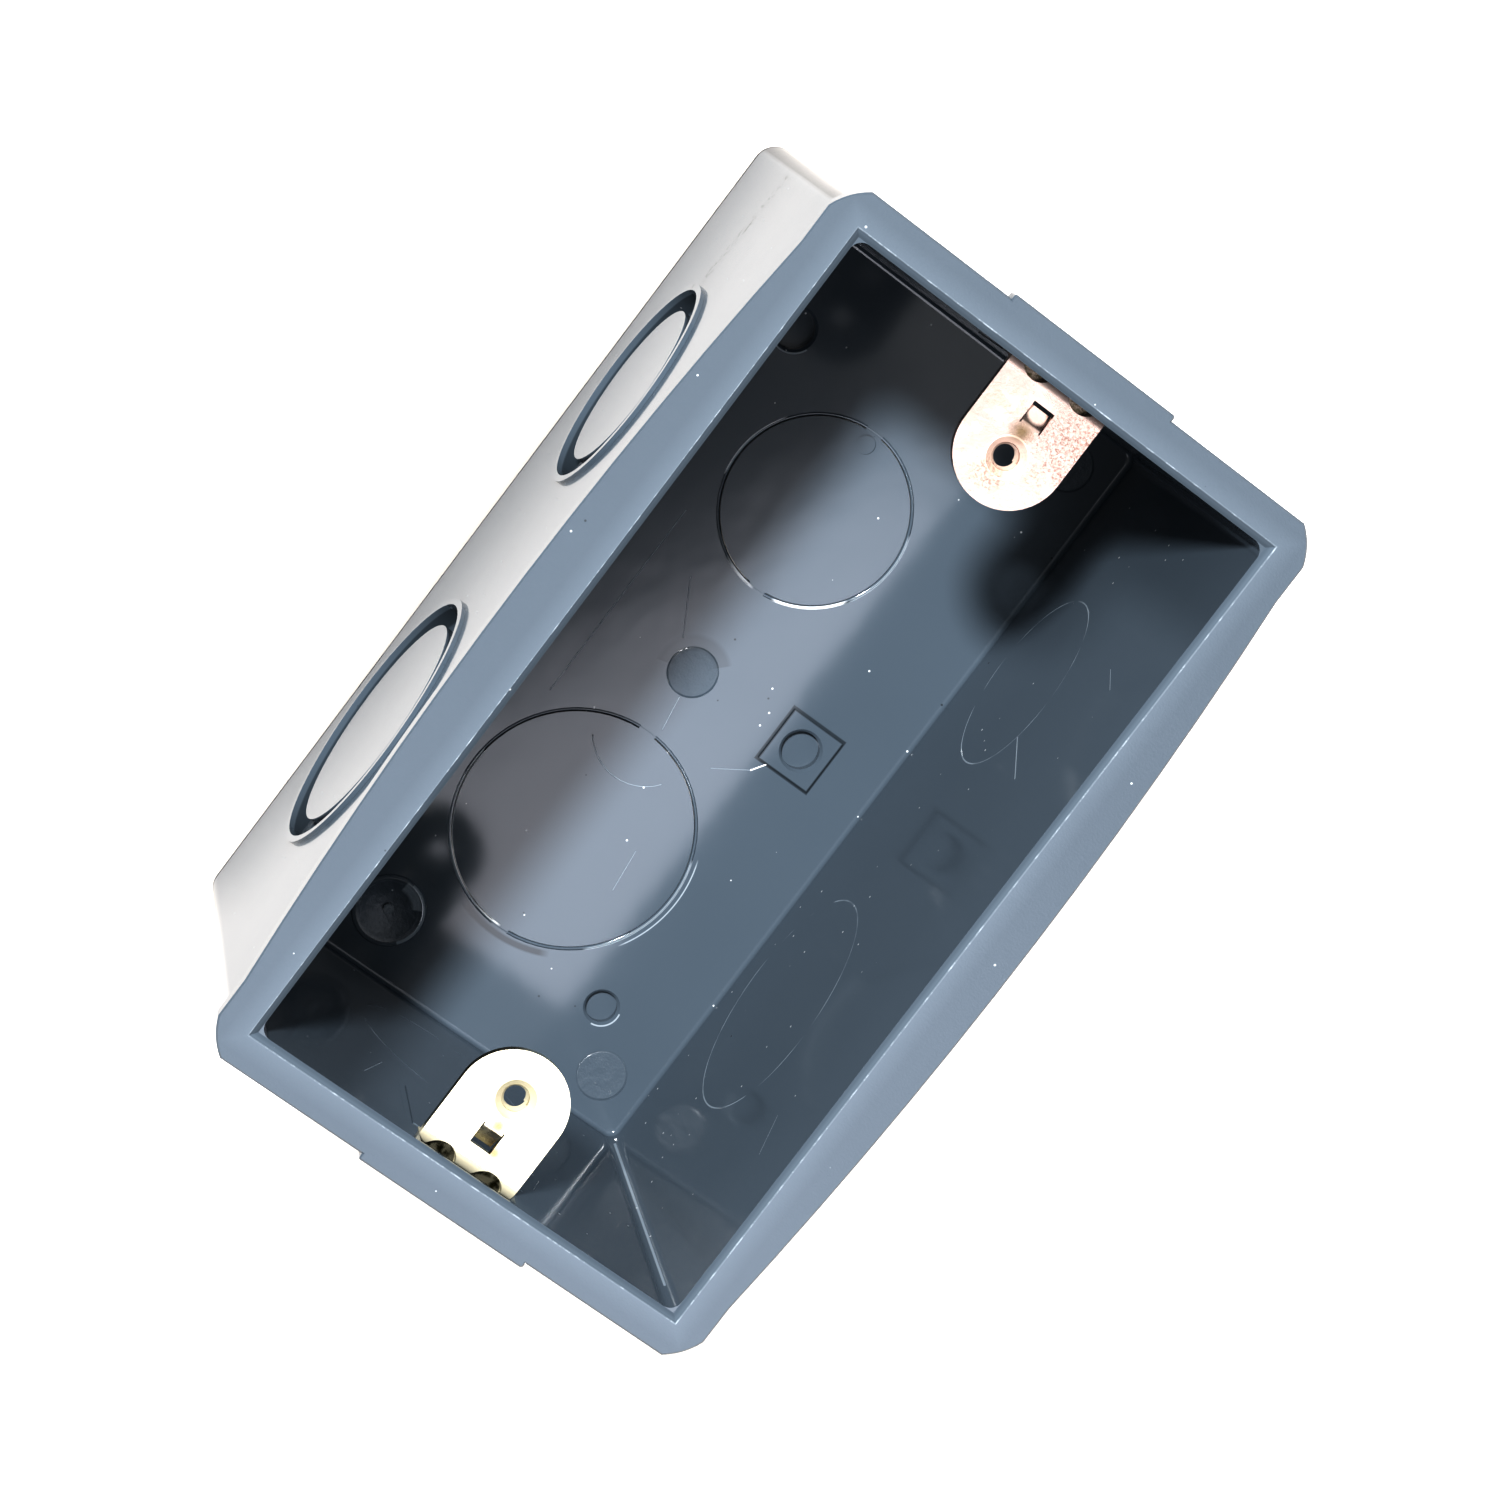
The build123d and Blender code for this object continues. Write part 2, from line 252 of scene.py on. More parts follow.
soft_box("right_soft_box", (157, 22), (600, 750), 22, glow("soft_box_cloth", "f7f7ff", 5.9))
soft_box("ceiling_card", (-100, 500), (900, 470), 0, glow("white_card", "f6f6f8", 1.6))
print("soft boxes hang", PANEL_HEIGHT / MM, "mm above the table")

# %% [markdown]
# ## Marks in a material
#
# A used mould and a rough journey leave thin lines on the plastic: witness lines, scratches, dust.
# Painted highlights and painted shade are drawn the same way.
# Each of them is a distance in the shader: how far is this point from a segment, an arc or a disc?
# A distance turned into a mask costs no geometry, stays sharp at any zoom and can be moved by a number.

# %% Helpers for marks
FLOOR_TOP = 2.0
ALL_AXES = (1, 1, 1)
ACROSS_X = (0, 1, 1)
ACROSS_Y = (1, 0, 1)
ACROSS_Z = (1, 1, 0)


def vector_math(tree, operation, first, second=None):
    """One step of vector arithmetic. Gives the vector it makes."""
    inputs = {"i0": first} if second is None else {"i0": first, "i1": second}
    return add_node(tree, "ShaderNodeVectorMath", {"operation": operation}, **inputs).outputs["Vector"]


def measure(tree, operation, first, second=None):
    """One step of vector arithmetic. Gives the number it makes."""
    inputs = {"i0": first} if second is None else {"i0": first, "i1": second}
    return add_node(tree, "ShaderNodeVectorMath", {"operation": operation}, **inputs).outputs["Value"]


def number_math(tree, operation, first, second=0.0):
    """One step of arithmetic on numbers."""
    return add_node(tree, "ShaderNodeMath", {"operation": operation}, i0=first, i1=second).outputs[0]


def ramp(tree, value, low, high, at_low=0.0, at_high=1.0):
    """Maps low..high to at_low..at_high, and holds the ends."""
    return add_node(
        tree,
        "ShaderNodeMapRange",
        Value=value,
        From_Min=low,
        From_Max=high,
        To_Min=at_low,
        To_Max=at_high,
    ).outputs[0]


def both(tree, *masks):
    """The product of several masks or numbers."""
    result = masks[0]
    for mask in masks[1:]:
        result = number_math(tree, "MULTIPLY", result, mask)
    return result


def strongest(tree, masks):
    """The largest of several masks."""
    result = masks[0]
    for mask in masks[1:]:
        result = number_math(tree, "MAXIMUM", result, mask)
    return result


def blend(tree, mask, first, second):
    """Mixes two colours by a mask."""
    return add_node(
        tree, "ShaderNodeMix", {"data_type": "RGBA"}, i0=mask, i6=first, i7=second
    ).outputs[2]


def scratch(tree, place, start, end, width):
    """Mask of a straight line between two points, in millimetres."""
    run = (Vector(end) - Vector(start)) * MM
    from_start = vector_math(tree, "SUBTRACT", place, Vector(start) * MM)
    along = measure(tree, "DOT_PRODUCT", from_start, run / run.length_squared)
    along = add_node(tree, "ShaderNodeClamp", Value=along).outputs[0]
    nearest = add_node(tree, "ShaderNodeVectorMath", {"operation": "SCALE"}, i0=run, Scale=along)
    gap = measure(tree, "DISTANCE", from_start, nearest.outputs["Vector"])
    return ramp(tree, gap, width / 4 * MM, width / 2 * MM, 1.0, 0.0)


def arc(tree, place, axes, centre, radius, width, facing=None, spread=180.0):
    """Mask of a circle's line, or of the part of it that faces one way. Axes left out don't count."""
    out = vector_math(tree, "SUBTRACT", place, Vector(centre) * MM)
    out = vector_math(tree, "MULTIPLY", out, axes)
    off = number_math(tree, "SUBTRACT", measure(tree, "LENGTH", out), radius * MM)
    off = number_math(tree, "ABSOLUTE", off)
    mask = ramp(tree, off, width / 4 * MM, width / 2 * MM, 1.0, 0.0)
    if facing:
        out = vector_math(tree, "NORMALIZE", out)
        turned = measure(tree, "DOT_PRODUCT", out, Vector(facing).normalized())
        edge = math.cos(math.radians(spread))
        mask = both(tree, mask, ramp(tree, turned, edge - 0.01, edge + 0.02))
    return mask


def disc(tree, place, centre, radius, softness):
    """Mask of a round spot."""
    gap = measure(tree, "DISTANCE", place, Vector(centre) * MM)
    return ramp(tree, gap, (radius - softness) * MM, radius * MM, 1.0, 0.0)


def specks(tree, place, spacing, size, share):
    """Mask of scattered round specks: their spacing and size in millimetres, and the share kept."""
    cells = add_node(tree, "ShaderNodeTexVoronoi", Vector=place, Scale=1 / (spacing * MM), Randomness=1.0)
    dots = ramp(tree, cells.outputs["Distance"], 0.3 * size / spacing, 0.5 * size / spacing, 1.0, 0.0)
    pick = add_node(tree, "ShaderNodeSeparateXYZ", Vector=cells.outputs["Color"]).outputs["X"]
    return both(tree, dots, number_math(tree, "LESS_THAN", pick, share))


def farther(tree, vector):
    """The larger of a vector's X and Y."""
    parts = add_node(tree, "ShaderNodeSeparateXYZ", Vector=vector)
    return number_math(tree, "MAXIMUM", parts.outputs["X"], parts.outputs["Y"])


def noise(tree, place, size, detail=2.0, roughness=0.5):
    """A noise pattern with features of about this size in millimetres."""
    return add_node(
        tree, "ShaderNodeTexNoise", Vector=place, Scale=1 / (size * MM), Detail=detail, Roughness=roughness
    ).outputs["Fac"]


print("helpers for marks are ready")

# %% [markdown]
# ## The box: glossy PVC
#
# The box is injection-moulded PVC, a dark blue-grey. The polished mould leaves the inside like a
# mirror, while the flange is satin and the round ejector marks are matt. Raw PVC reflects like any
# plastic, with an IOR near 1.53. The glints on the edges beside the knockout slits are painted in as
# white colour, and the knockouts of the walls show on the inside as hair-thin witness lines.

# %% Where the marks on the box are
RIM_Z = 57.0
WALL_DRAFT = math.radians(0.6)
MOUTH_CORNER = Vector((26.7, 50.25, 0))
BODY_CORNER = Vector((29.45, 53.25, 0))
SMALL_KNOCKOUT = (0, 23.0, FLOOR_TOP)
LARGE_KNOCKOUT = (0, -22.6, FLOOR_TOP)
EJECTOR = (0, 0, FLOOR_TOP)
CORNER_EJECTOR = (20.4, 44.2, FLOOR_TOP)
GATE = (-11.5, -42.4, FLOOR_TOP)
SMALL_HOLE = (15.4, -37.6, FLOOR_TOP)
WIDE_HOLE = (-14.6, 38.0, FLOOR_TOP)
PAD = (15.6, 0, FLOOR_TOP)
PAD_HALF_SIDE = 3.5


def drawn_in(z):
    """How far the drafted walls have come in at this height, in millimetres."""
    return (RIM_Z - z) * math.tan(WALL_DRAFT)


def on_right_wall(y, z):
    """A point on the inside of the right wall, in millimetres."""
    return (MOUTH_CORNER.x - drawn_in(z), y, z)


# Lines drawn on the box: scratches, and one painted highlight along an inner corner
SCRATCHES_AND_CORNER_HIGHLIGHT = [
    ((-6.9, 8.6, FLOOR_TOP), (-3.4, 2.6, FLOOR_TOP), 0.12),
    ((0.5, -3.2, FLOOR_TOP), (1.2, -7.3, FLOOR_TOP), 0.12),
    ((-12.0, 14.4, FLOOR_TOP), (-12.0, -11.0, FLOOR_TOP), 0.14),
    ((12.4, -5.2, FLOOR_TOP), (8.5, -7.7, FLOOR_TOP), 0.10),
    ((7.4, -20.5, FLOOR_TOP), (8.0, -25.7, FLOOR_TOP), 0.10),
    (on_right_wall(14.6, 38), on_right_wall(17.8, 30), 0.25),
    (on_right_wall(28.6, 45), on_right_wall(30.2, 41), 0.15),
    (on_right_wall(-29.0, 44), on_right_wall(-33.0, 47), 0.12),
    # Painted highlight: a pale line down the middle of the rounded inner corner between two walls
    ((25.74, -49.3, 5), (26.25, -49.8, 50), 0.4),  # the rubbed corner between two walls
    ((9.5, -50.1, 46), (10.8, -50.05, 41), 0.12),
    ((-12.5, -50.1, 44), (-9.6, -50.0, 36), 0.12),
]
print(len(SCRATCHES_AND_CORNER_HIGHLIGHT), "scratches")
print("the walls come in by", round(drawn_in(FLOOR_TOP), 2), "mm down to the floor")

# %% [markdown]
# ## Regions of the box, and its hairlines
#
# Every mark is a mask: a number from 0 to 1, worked out from a point's place on the box. The first
# masks tell the flange, the inside and the outside apart. The next ones draw the pale hairlines.

# %% PVC: regions and hairlines
pvc, tree = new_material("moulded_pvc")
place = add_node(tree, "ShaderNodeTexCoord").outputs["Object"]
height = add_node(tree, "ShaderNodeSeparateXYZ", Vector=place).outputs["Z"]
folded = vector_math(tree, "ABSOLUTE", place)

# Regions: how far a point is from the mouth tells the flange, the inside and the outside apart
from_mouth = farther(tree, vector_math(tree, "SUBTRACT", folded, MOUTH_CORNER * MM))
on_rim = ramp(tree, height, (RIM_Z - 0.15) * MM, (RIM_Z - 0.03) * MM)
near_top = ramp(tree, height, (RIM_Z - 0.4) * MM, (RIM_Z - 0.2) * MM)
below_top = number_math(tree, "SUBTRACT", 1.0, near_top)
outside = both(tree, ramp(tree, from_mouth, 1.5 * MM, 1.6 * MM), below_top)
inside = number_math(tree, "SUBTRACT", 1.0, outside)
near_floor = ramp(tree, height, (FLOOR_TOP + 0.5) * MM, (FLOOR_TOP + 0.6) * MM, 1.0, 0.0)
matt_discs = strongest(
    tree,
    [
        disc(tree, place, EJECTOR, 3.0, 0.2),
        disc(tree, folded, CORNER_EJECTOR, 3.0, 0.2),
        disc(tree, place, GATE, 3.9, 0.5),
    ],
)

# Witness lines: pale hairlines, broken up by a noise of 5 mm so that they come and go
witness = strongest(
    tree,
    [
        arc(tree, place, ACROSS_X, (0, 22.5, 20.0), 10.9, 0.24),
        arc(tree, place, ACROSS_X, (0, -22.5, 20.7), 13.8, 0.24),
        arc(tree, place, ACROSS_Y, (0, 0, 21.2), 11.1, 0.2),
    ],
)
witness = both(tree, witness, inside, ramp(tree, noise(tree, place, 5), 0.42, 0.6))
marks = [scratch(tree, place, *line) for line in SCRATCHES_AND_CORNER_HIGHLIGHT]
marks.append(arc(tree, place, ALL_AXES, (0.1, -8.6, FLOOR_TOP), 6.3, 0.12, (0, -1, 0), 52))
hairlines = strongest(tree, [witness] + marks)
print(len(marks), "hairlines besides the witness lines:", len(tree.nodes), "nodes")

# %% [markdown]
# ## Pale marks and painted highlights
#
# Where thin edges catch the light, the glints are painted in as pale colour, and PVC turns nearly white
# where it was strained. All these marks follow an edge for a short way and stop, so each one is a piece
# of a circle that faces its own way.

# %% PVC: pale marks and painted highlights
# Painted highlights and reflections, faintly pale: on the edges of the floor's slits, on the gate's bowl
# and its middle, and on the lit sides of the two open holes
painted_highlights = strongest(
    tree,
    [
        arc(tree, place, ACROSS_Z, SMALL_KNOCKOUT, 11.25, 0.3, (1, -0.1, 0), 26),
        arc(tree, place, ACROSS_Z, SMALL_KNOCKOUT, 11.25, 0.4, (-1, 0.05, 0), 15),
        arc(tree, place, ACROSS_Z, LARGE_KNOCKOUT, 14.25, 0.3, (1, -0.25, 0), 34),
        arc(tree, place, ACROSS_Z, LARGE_KNOCKOUT, 14.9, 0.2, (1, -0.1, 0), 26),
        arc(tree, place, ACROSS_Z, LARGE_KNOCKOUT, 14.2, 0.3, (-0.75, -0.66, 0), 34),
        arc(tree, place, ACROSS_Z, GATE, 3.95, 0.5, (0.94, 0.35, 0), 62),
        arc(tree, place, ACROSS_Z, GATE, 3.3, 1.6, (0.46, 0.89, 0), 30),
        disc(tree, place, GATE, 0.9, 0.7),
        arc(tree, place, ACROSS_Z, SMALL_HOLE, 2.25, 0.24, (0.8, -0.6, 0), 50),
        arc(tree, place, ACROSS_Z, WIDE_HOLE, 2.8, 0.24, (0.3, -0.95, 0), 50),
    ],
)
painted_highlights = both(tree, painted_highlights, near_floor)

# Painted highlights: white glints on the edges beside the slits; and one nick beside the pad, strained and
# whitened
slit_glints_and_nick = strongest(
    tree,
    [
        arc(tree, place, ACROSS_Z, SMALL_KNOCKOUT, 11.2, 0.42, (-0.25, -0.97, 0), 10),
        arc(tree, place, ACROSS_Z, SMALL_KNOCKOUT, 11.2, 0.42, (0.56, -0.83, 0), 22),
        arc(tree, place, ACROSS_Z, SMALL_KNOCKOUT, 11.3, 0.2, (-0.98, 0.19, 0), 24),
        arc(tree, place, ACROSS_Z, LARGE_KNOCKOUT, 13.95, 0.32, (-0.75, -0.66, 0), 48),
        scratch(tree, place, (13.4, -3.7, FLOOR_TOP), (12.4, -5.2, FLOOR_TOP), 0.2),
    ],
)
slit_glints_and_nick = both(tree, slit_glints_and_nick, near_floor)
dust = both(tree, specks(tree, place, 2.5, 0.3, 0.6), ramp(tree, outside, 0.0, 1.0, 0.8, 0.15))

# The flange's inner edge is paler and chipped
inner_band = both(tree, ramp(tree, from_mouth, 0.9 * MM, 3.0 * MM, 0.14, 0.0), near_top)
from_edge = number_math(tree, "ABSOLUTE", number_math(tree, "SUBTRACT", from_mouth, 0.75 * MM))
broken = ramp(tree, noise(tree, place, 1.6, 4.0, 0.7), 0.5, 0.75, 0.12, 0.9)
chips = both(tree, ramp(tree, from_edge, 0.03 * MM, 0.1 * MM, 1.0, 0.0), near_top, broken)
print("with pale marks:", len(tree.nodes), "nodes")

# %% [markdown]
# ## Dark marks and painted shade
#
# Dirt gathers where nothing wipes it off, and nicks and scuffs stay dark. Painted shade darkens the
# edge of the raised pad, one side of the middle ejector mark and the foot of the walls, and the grooves
# round the knockouts of the walls are darker too.

# %% PVC: dark marks and painted shade
# Painted shadow: a dark outline where the square pad round the deep hole meets the floor
from_pad = vector_math(tree, "ABSOLUTE", vector_math(tree, "SUBTRACT", place, Vector(PAD) * MM))
from_outline = number_math(tree, "SUBTRACT", farther(tree, from_pad), (PAD_HALF_SIDE + 0.1) * MM)
from_outline = number_math(tree, "ABSOLUTE", from_outline)
painted_pad_shadow = both(tree, ramp(tree, from_outline, 0.14 * MM, 0.28 * MM, 1.0, 0.0), near_floor)
# Painted shade: a dark half ring on the -X and +Y side of the middle ejector mark
shade = arc(tree, place, ACROSS_Z, EJECTOR, 3.5, 2.2, (-0.5, 0.87, 0), 75)
shade = both(tree, shade, near_floor, 0.3)
# Dirt: dark specks and an arc below the large knockout, together with the painted shadow round the pad
dirt_and_pad_shadow = strongest(
    tree,
    [
        painted_pad_shadow,
        specks(tree, place, 4.1, 0.34, 0.4),
        arc(tree, place, ALL_AXES, LARGE_KNOCKOUT, 14.95, 1.0, (0.05, -1, 0), 22),
    ],
)

# Painted contact shadow where the back edge stands on the table, and a grey scuff low on the left side
painted_foot_shadow = both(tree, ramp(tree, height, 0.5 * MM, 0.9 * MM, 0.8, 0.0), outside)
scuff = scratch(tree, place, (-BODY_CORNER.x, 36, 19), (-BODY_CORNER.x, 50, 22), 3.0)
scuff = both(tree, scuff, ramp(tree, noise(tree, place, 0.8, 3.0, 0.7), 0.5, 0.62, 0.0, 0.6))

# Darker in the grooves round the knockouts of the walls: all that lies a little below the outer faces
below_face = farther(tree, vector_math(tree, "SUBTRACT", folded, BODY_CORNER * MM))
grooves = both(
    tree,
    ramp(tree, below_face, -0.3 * MM, -0.12 * MM, 0.6, 0.0),
    ramp(tree, below_face, -2.2 * MM, -1.9 * MM),
    ramp(tree, height, 53 * MM, 54 * MM, 1.0, 0.0),
    ramp(tree, height, 0.3 * MM, 0.6 * MM),
)

# Small nicks on the outside, which rubbed against other boxes
nicks = both(tree, specks(tree, place, 2.0, 0.34, 0.45), ramp(tree, outside, 0.0, 1.0, 0.0, 0.35))
print("with dark marks:", len(tree.nodes), "nodes")

# %% [markdown]
# ## From masks to plastic
#
# Each mask now mixes in its own colour. Some of them also change the roughness or raise the surface.
# The order counts: the painted glints lie on top of the dirt and the painted shade, so they come last.

# %% PVC: colour, roughness, bump and shader
POLISHED = 0.11
MATT = 0.3
SATIN = 0.38

# Colour: two close greys in clouds of 25 mm, then the marks
colour = blend(tree, noise(tree, place, 25), linear("515c66"), linear("57626c"))
# Pale hairlines: witness lines and scratches, with the painted highlight along one inner corner
colour = blend(tree, both(tree, hairlines, 0.55), colour, linear("b4c0ca"))
colour = blend(tree, inner_band, colour, linear("8996a2"))
# Painted highlights and reflections, and the flange's pale chips
colour = blend(tree, strongest(tree, [both(tree, painted_highlights, 0.55), chips]), colour, linear("c4ced6"))
# Dark: dirt, nicks, the scuff and the darker grooves, with painted shade round the pad, beside the middle
# ejector mark and at the foot
dark = strongest(tree, [both(tree, dirt_and_pad_shadow, 0.7), shade, painted_foot_shadow, nicks, grooves, scuff])
colour = blend(tree, dark, colour, linear("1c2125"))
# Painted white glints beside the slits, a whitened nick, and dust
colour = blend(tree, strongest(tree, [slit_glints_and_nick, dust]), colour, linear("eef1f3"))

# Roughness: polished inside, matt on the ejector marks, satin on the flange
roughness = strongest(
    tree,
    [
        ramp(tree, matt_discs, 0.0, 1.0, POLISHED, MATT),
        ramp(tree, on_rim, 0.0, 1.0, POLISHED, SATIN),
        both(tree, slit_glints_and_nick, 0.5),
    ],
)

# Bump: slow waves of the moulding, fine grain on the satin flange, tool marks on the ejector marks
waves = add_node(tree, "ShaderNodeBump", Strength=0.06, Distance=0.4 * MM, Height=noise(tree, place, 9))
rim_grain = both(tree, on_rim, noise(tree, place, 0.3, 3.0))
disc_grain = both(tree, matt_discs, noise(tree, place, 1.1, 5.0, 0.65), 6.0)
grain = add_node(
    tree,
    "ShaderNodeBump",
    Strength=0.5,
    Distance=0.05 * MM,
    Height=number_math(tree, "ADD", rim_grain, disc_grain),
    Normal=waves.outputs[0],
)
lines = add_node(
    tree,
    "ShaderNodeBump",
    Strength=0.6,
    Distance=0.04 * MM,
    Height=strongest(tree, [hairlines, slit_glints_and_nick]),
    Normal=grain.outputs[0],
)

# Dry dirt doesn't shine, so the shine goes down on the scuff, in the darker grooves and along the painted
# shadow at the foot
shader = add_node(
    tree,
    "ShaderNodeBsdfPrincipled",
    Base_Color=colour,
    Roughness=roughness,
    IOR=1.53,
    Specular_IOR_Level=ramp(tree, strongest(tree, [painted_foot_shadow, grooves, scuff]), 0.0, 0.8, 0.5, 0.0),
    Normal=lines.outputs[0],
)
finish_material(tree, shader)


def dress(node_name, material):
    """Gives every material slot of a CAD node this material."""
    slots = frame["nodes"][node_name].material_slots
    for slot in slots:
        slot.material = material
    return len(slots)


print("box slots dressed:", dress("switch_box", pvc), "with", len(tree.nodes), "nodes")

# %% [markdown]
# ## The lugs: zinc-plated steel
#
# The two lugs are pressed from steel sheet, plated with zinc and passivated, which leaves a thin film
# that shines yellow in one place and pink in the next. On the pink side of the upper lug the plating
# is grainy, so dark grains of about 0.3 mm show there. The pressed-in entries of the holes, the bends
# and the upper lug's tongue are dull and scatter the lamp's light. A lower Metallic value does that.

# %% Plated steel material
LUG_TOP = 53.4
HOLE_Y = 41.65
DIMPLE = Vector((2.95, 51.4, 0))
TONGUE_END = (0, 46.4, 51.6)

plated, tree = new_material("zinc_plated_steel")
place = add_node(tree, "ShaderNodeTexCoord").outputs["Object"]
along = add_node(tree, "ShaderNodeSeparateXYZ", Vector=place).outputs["Y"]
folded = vector_math(tree, "ABSOLUTE", place)

# Colour: from yellow to pink along the box, then the grains and the stains of the film
film = number_math(tree, "ADD", ramp(tree, along, -60 * MM, 60 * MM), noise(tree, place, 6))
colour = blend(tree, ramp(tree, film, 0.75, 1.35), linear("cfc9b3"), linear("d6c1b7"))
grainy = strongest(
    tree,
    [
        disc(tree, place, (6.0, 46.0, LUG_TOP), 7.0, 4.5),
        disc(tree, place, (-0.6, 39.3, LUG_TOP), 2.4, 1.4),
    ],
)
grains = ramp(tree, noise(tree, place, 0.25, 3.0, 0.7), 0.46, 0.66)
colour = blend(tree, both(tree, grainy, grains, 0.75), colour, linear("8c5f50"))
stain = strongest(
    tree,
    [
        disc(tree, place, (-0.4, 44.6, LUG_TOP), 1.7, 1.4),
        disc(tree, place, (0.2, -45.0, LUG_TOP), 1.5, 1.3),
        disc(tree, place, (1.6, -47.6, LUG_TOP), 1.5, 1.3),
    ],
)
colour = blend(tree, both(tree, stain, 0.8), colour, linear("7a6640"))

# The two dimples in each bend are dark, with yellow streaks
from_dimple = measure(tree, "DISTANCE", vector_math(tree, "MULTIPLY", folded, ACROSS_Z), DIMPLE * MM)
streaks = ramp(tree, noise(tree, place, 0.9), 0.35, 0.55, 1.0, 0.7)
dimples = both(tree, ramp(tree, from_dimple, 1.85 * MM, 2.0 * MM, 1.0, 0.0), streaks)
colour = blend(tree, dimples, colour, linear("3d3a20"))

# Roughness: worn in clouds of 2 mm, and dull where the press worked the sheet most
worn = ramp(tree, noise(tree, place, 2.2, 4.0, 0.6), 0.45, 0.75, 0.24, 0.38)
dull = strongest(
    tree,
    [
        disc(tree, place, (0, HOLE_Y, LUG_TOP - 0.2), 2.5, 0.2),
        disc(tree, place, (0, -HOLE_Y, LUG_TOP - 0.2), 2.5, 0.2),
        ramp(tree, number_math(tree, "ABSOLUTE", along), 49.2 * MM, 49.8 * MM),
        disc(tree, place, TONGUE_END, 1.8, 0.3),
    ],
)
dull = number_math(tree, "SUBTRACT", dull, dimples)
steel_bump = add_node(
    tree,
    "ShaderNodeBump",
    Strength=0.35,
    Distance=0.05 * MM,
    Height=noise(tree, place, 0.6, 4.0),
)
shader = add_node(
    tree,
    "ShaderNodeBsdfPrincipled",
    Base_Color=colour,
    Metallic=ramp(tree, dull, 0.0, 1.0, 1.0, 0.35),
    Roughness=strongest(tree, [worn, both(tree, dull, 0.5)]),
    Normal=steel_bump.outputs[0],
)
finish_material(tree, shader)
for lug in ("upper_lug", "lower_lug"):
    print(lug, "slots dressed:", dress(lug, plated))

# %% [markdown]
# ## Film in the slits
#
# On the real box a thin film of plastic nearly fills the slits round the two knockouts of the floor,
# so they show as fine dark lines and not as open gaps. A thin ring lies in each slit, a little below
# the floor's surface. A torus has just this form, so one torus for each slit is all it takes.

# %% Film in the slits
FILM_RADIUS = 0.2
FILM_DEPTH = 0.19
FILM_SEGMENTS = (180, 10)


def start_piece():
    """Clears the selection for the next piece."""
    bpy.ops.object.select_all(action="DESELECT")


def finish_piece(name, material, angle=40):
    """Names the active object, dresses it, and lets it ride on the box with its place in its mesh."""
    piece = bpy.context.object
    piece.name = name
    piece.data.name = name
    piece.data.materials.clear()
    piece.data.materials.append(material)
    bpy.ops.object.transform_apply(location=True, rotation=True, scale=True)
    bpy.ops.object.shade_smooth_by_angle(angle=math.radians(angle))
    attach(piece, "root")
    print(name, "has", len(piece.data.polygons), "faces")
    return piece


for name, centre, radius in (
    ("small_slit_film", SMALL_KNOCKOUT, 11.14),
    ("large_slit_film", LARGE_KNOCKOUT, 14.14),
):
    start_piece()
    bpy.ops.mesh.primitive_torus_add(
        location=Vector(centre) * MM - Vector((0, 0, FILM_DEPTH * MM)),
        major_radius=radius * MM,
        minor_radius=FILM_RADIUS * MM,
        major_segments=FILM_SEGMENTS[0],
        minor_segments=FILM_SEGMENTS[1],
    )
    finish_piece(name, pvc)

# %% [markdown]
# ## Smooth walls in front of the lugs' legs
#
# On the real box the leg of each lug is pushed into a pocket behind the end wall, so the wall looks
# smooth beside the lug. In the CAD model two lips hold the leg in an open channel instead. A copy of
# the CAD mesh has its lips trimmed by one Boolean and its channels closed by another. The blocks lean
# with the drafted walls, and stay clear of them by a hair, because two faces in one plane upset a
# Boolean.

# %% Tools for the walls


def wall_blocks(name, xs, z, size, depth):
    """Blocks that lean with both end walls, in millimetres. Depth is from the wall to their middle."""
    start_piece()
    wall_y = MOUTH_CORNER.y - drawn_in(z)
    for end in (-1, 1):
        for x in xs:
            bpy.ops.mesh.primitive_cube_add(
                size=1,
                location=(x * MM, end * (wall_y + depth) * MM, z * MM),
                rotation=(-end * WALL_DRAFT, 0, 0),
                scale=[length * MM for length in size],
            )
            bpy.context.object.name = name
    for block in bpy.data.objects:
        block.select_set(block.name.startswith(name))
    bpy.ops.object.join()
    return bpy.context.object


def combine(piece, operation, blocks):
    """Cuts the blocks out of a piece, or joins them to it, and takes them away."""
    start_piece()
    bpy.context.view_layer.objects.active = piece
    piece.select_set(True)
    step = piece.modifiers.new(operation.lower(), "BOOLEAN")
    step.operation = operation
    step.solver = "EXACT"
    step.object = blocks
    bpy.ops.object.modifier_apply(modifier=step.name)
    bpy.data.objects.remove(blocks)
    print(operation.lower(), "leaves", len(piece.data.polygons), "faces")


print("blocks lean by", round(math.degrees(WALL_DRAFT), 2), "degrees")

# %% [markdown]
# ## The trimmed box
#
# The CAD mesh comes with its faces apart, so their edges are merged first: a Boolean needs a closed
# body. It also loses the mesh's shading normals, so a Weighted Normal modifier makes new ones, in
# which the large faces count most and so look flat.

# %% Trim the lips and close the channels
LIP_X, LIP_Z, LIP_BLOCK = 6.2, 45.0, (4.0, 3.0, 12.0)
COVER_Z, COVER_BLOCK = 45.35, (13.6, 0.6, 12.3)
SHORT_OF_WALL = 0.01
PROUD_OF_WALL = 0.11

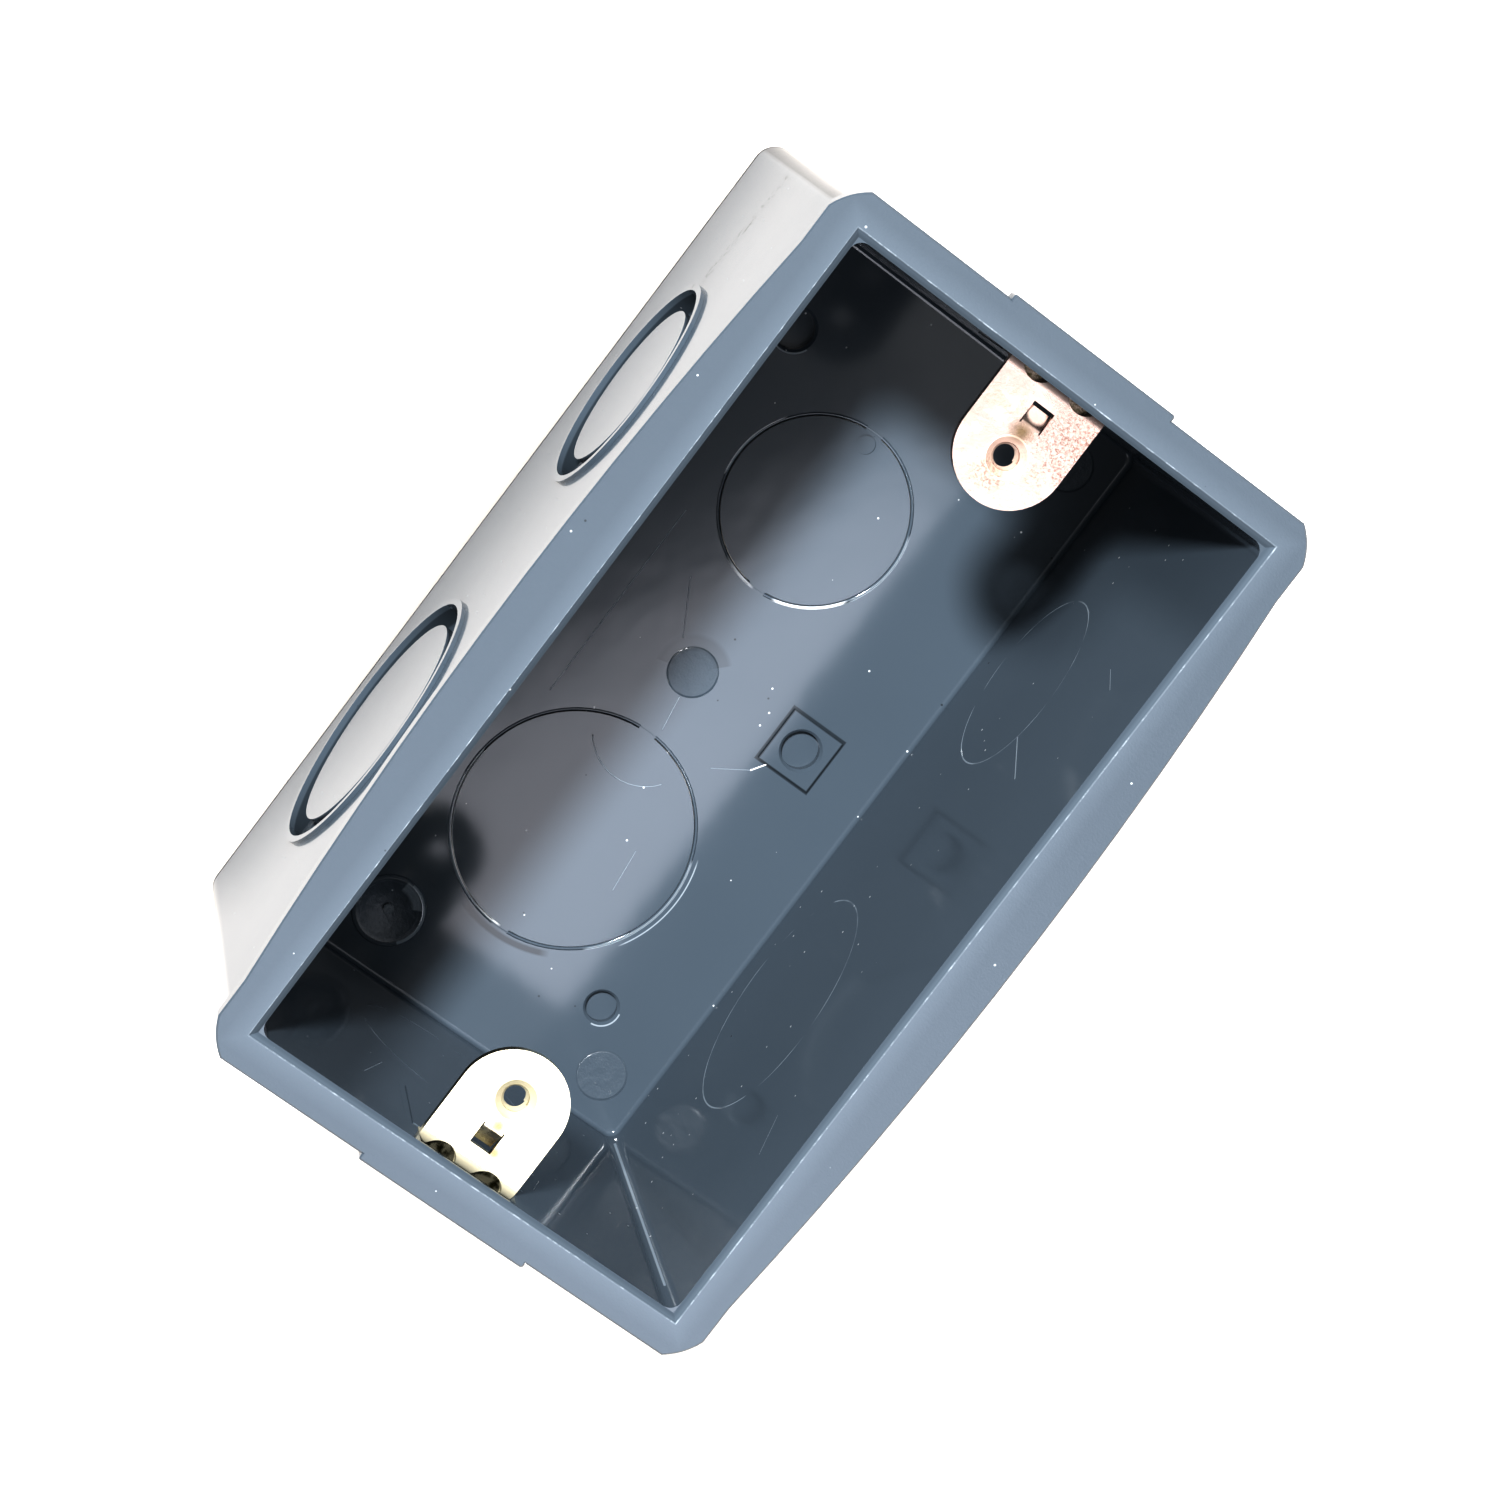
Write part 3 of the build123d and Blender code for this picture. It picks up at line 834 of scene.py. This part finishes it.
cad_box = frame["nodes"]["switch_box"]
start_piece()
shell = bpy.data.objects.new("switch_box_shell", cad_box.data.copy())
bpy.context.scene.collection.objects.link(shell)
bpy.context.view_layer.objects.active = shell
shell.select_set(True)
bpy.ops.object.mode_set(mode="EDIT")
bpy.ops.mesh.select_all(action="SELECT")
bpy.ops.mesh.remove_doubles(threshold=0.002 * MM)
bpy.ops.object.mode_set(mode="OBJECT")
bpy.ops.mesh.customdata_custom_splitnormals_clear()
depth = -LIP_BLOCK[1] / 2 - SHORT_OF_WALL
combine(shell, "DIFFERENCE", wall_blocks("lip_cutter", (-LIP_X, LIP_X), LIP_Z, LIP_BLOCK, depth))
depth = COVER_BLOCK[1] / 2 - PROUD_OF_WALL
combine(shell, "UNION", wall_blocks("channel_cover", (0,), COVER_Z, COVER_BLOCK, depth))
finish_piece("switch_box_shell", pvc, 28)
flat_faces = shell.modifiers.new("flat_faces", "WEIGHTED_NORMAL")
flat_faces.mode = "FACE_AREA"
flat_faces.weight = 100
flat_faces.keep_sharp = True
bpy.ops.object.modifier_apply(modifier=flat_faces.name)
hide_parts("switch_box")

# %% [markdown]
# ## Threads in the lugs
#
# The holes of the lugs are tapped for the two screws that hold a switch. A small triangle, swept round
# the hole's axis by the Screw modifier while it climbs, is a thread with the real pitch of 0.6 mm. The
# triangle is left open at both ends of the sweep, so the two holes are filled afterwards.

# %% Threads
THREAD_PITCH = 0.6
THREAD_BOTTOM = 51.4
TRIANGLE_RADIUS = 0.26
TRIANGLE_PLACE = 1.42
STEPS_A_TURN = 48
for name, hole_y in (("upper_thread", HOLE_Y), ("lower_thread", -HOLE_Y)):
    start_piece()
    bpy.ops.mesh.primitive_circle_add(
        vertices=3, radius=TRIANGLE_RADIUS * MM, rotation=(math.pi / 2, 0, 0)
    )
    bpy.ops.object.transform_apply(location=False, rotation=True, scale=False)
    bpy.ops.object.mode_set(mode="EDIT")
    bpy.ops.mesh.select_all(action="SELECT")
    bpy.ops.transform.translate(value=(TRIANGLE_PLACE * MM, 0, 0))
    bpy.ops.object.mode_set(mode="OBJECT")
    thread = bpy.context.object
    screw = thread.modifiers.new("thread", "SCREW")
    screw.axis = "Z"
    screw.angle = 2 * math.pi
    screw.screw_offset = THREAD_PITCH * MM
    screw.iterations = 2
    screw.steps = STEPS_A_TURN
    screw.render_steps = STEPS_A_TURN
    bpy.ops.object.modifier_apply(modifier=screw.name)
    bpy.ops.object.mode_set(mode="EDIT")
    bpy.ops.mesh.select_all(action="SELECT")
    bpy.ops.mesh.fill_holes(sides=3)
    bpy.ops.mesh.normals_make_consistent(inside=False)
    bpy.ops.object.mode_set(mode="OBJECT")
    thread.location = (0, hole_y * MM, THREAD_BOTTOM * MM)
    finish_piece(name, plated)
